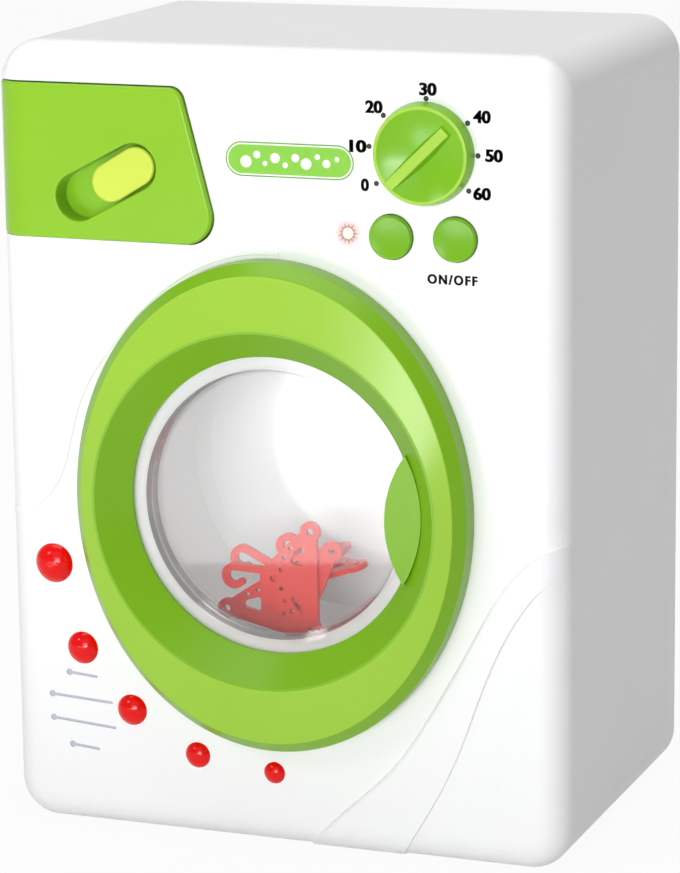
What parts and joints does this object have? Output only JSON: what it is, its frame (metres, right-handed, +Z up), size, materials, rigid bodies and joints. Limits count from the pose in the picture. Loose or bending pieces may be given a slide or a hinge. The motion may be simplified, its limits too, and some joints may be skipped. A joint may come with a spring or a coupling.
{
  "type": "toy washing machine",
  "caption": "Toy front-loading washing machine with a hinged round-window door, geared motor-driven drum, soap drawer, timer dial, push buttons, bubble lenses and doll hangers.",
  "frame": {"origin": "on the ground under the middle of the cabinet", "axes": "+Z up, the front with the door looks along -Y, +X to the right seen from the front"},
  "size_m": [0.192, 0.1412, 0.26],
  "materials": {
    "white_plastic": "smooth moulded, soft gloss",
    "inner_white": "moulded, matt",
    "green_plastic": "smooth moulded, glossy",
    "light_green_plastic": "smooth moulded, glossy",
    "clear_plastic": "clear moulded plastic",
    "red_plastic": "glossy, slightly see-through",
    "hanger_red": "smooth moulded",
    "grey_plastic": "moulded, matt",
    "natural_nylon": "moulded, matt",
    "brass_metal": "turned",
    "steel": "zinc-plated",
    "circuit_board": "lacquered laminate",
    "silicone_rubber": "matt",
    "cell_sleeve": "printed film, plain",
    "speaker_black": "paper and pressed steel"
  },
  "bodies": {
    "cabinet": {"cabinet_shell": "white_plastic", "bubble_lens_1": "red_plastic", "bubble_lens_2": "red_plastic", "bubble_lens_3": "red_plastic", "bubble_lens_4": "red_plastic", "bubble_lens_5": "red_plastic", "indicator_led": "red_plastic", "control_board": "circuit_board", "board_screws": "steel", "light_dome": "silicone_rubber", "power_dome": "silicone_rubber", "dial_click_spring": "steel", "door_hinge_pins": "steel", "door_catch": "inner_white", "drawer_guide": "inner_white", "guide_screws": "steel", "mouth_ring": "white_plastic", "mouth_ring_screws": "steel", "drum_bulkhead": "inner_white", "bulkhead_screws": "steel", "gearbox_case": "grey_plastic", "gearbox_lid": "grey_plastic", "gearbox_screws": "steel", "gear_axles": "steel", "shaft_bush": "brass_metal", "motor_can": "steel", "rear_cover": "white_plastic", "rear_cover_screws": "steel", "battery_box": "inner_white", "battery_box_screws": "steel", "battery_cells": "cell_sleeve", "battery_contacts": "steel", "battery_cover": "white_plastic", "battery_cover_screw": "steel", "speaker": "speaker_black"},
    "door": {"door_ring": "green_plastic", "door_window": "clear_plastic", "door_back_ring": "green_plastic", "door_screws": "steel"},
    "drawer": {"drawer_front": "green_plastic", "drawer_grip": "light_green_plastic", "drawer_tray": "inner_white", "drawer_screws": "steel"},
    "dial": {"dial_knob": "green_plastic", "dial_ratchet": "natural_nylon", "dial_screw": "steel"},
    "light_push": {"light_button": "green_plastic"},
    "power_push": {"power_button": "green_plastic"},
    "drum_body": {"drum": "white_plastic", "drum_shaft": "steel", "drum_gear": "natural_nylon", "hanger_1": "hanger_red", "hanger_2": "hanger_red", "hanger_3": "hanger_red", "hanger_4": "hanger_red"},
    "second_wheel": {"second_gear": "natural_nylon"},
    "first_wheel": {"first_gear": "natural_nylon"},
    "motor_rotor": {"motor_pinion": "brass_metal", "motor_shaft": "steel"}
  },
  "joints": [
    {"name": "door_hinge", "type": "hinge", "parent": "cabinet", "child": "door", "pos_m": [-0.0623, -0.0687, 0.115], "axis": [0, 0, -1], "range_deg": [0, 100]},
    {"name": "drawer_slide", "type": "slide", "parent": "cabinet", "child": "drawer", "axis": [0, -1, 0], "range_m": [0, 0.045]},
    {"name": "dial_turn", "type": "hinge", "parent": "cabinet", "child": "dial", "pos_m": [0.0509, 0, 0.2294], "axis": [0, 1, 0], "range_deg": [0, 257.5]},
    {"name": "light_press", "type": "slide", "parent": "cabinet", "child": "light_push", "axis": [0, 1, 0], "range_m": [0, 0.0018], "stiffness_N_per_m": 400, "springref_m": -0.0006, "deforming": ["light_dome"]},
    {"name": "power_press", "type": "slide", "parent": "cabinet", "child": "power_push", "axis": [0, 1, 0], "range_m": [0, 0.0018], "stiffness_N_per_m": 400, "springref_m": -0.0006, "deforming": ["power_dome"]},
    {"name": "drum_spin", "type": "hinge", "parent": "cabinet", "child": "drum_body", "pos_m": [0, 0, 0.115], "axis": [0, 1, 0], "continuous": true},
    {"name": "second_gear_spin", "type": "hinge", "parent": "cabinet", "child": "second_wheel", "pos_m": [-0.01949, 0, 0.12625], "axis": [0, 1, 0], "continuous": true},
    {"name": "first_gear_spin", "type": "hinge", "parent": "cabinet", "child": "first_wheel", "pos_m": [0, 0, 0.1375], "axis": [0, 1, 0], "continuous": true},
    {"name": "motor_spin", "type": "hinge", "parent": "cabinet", "child": "motor_rotor", "pos_m": [0.01949, 0, 0.14875], "axis": [0, 1, 0], "continuous": true}
  ],
  "couplings": [
    {"joint": "second_gear_spin", "follows": "drum_spin", "ratio": -4},
    {"joint": "first_gear_spin", "follows": "drum_spin", "ratio": 16},
    {"joint": "motor_spin", "follows": "drum_spin", "ratio": -64}
  ]
}
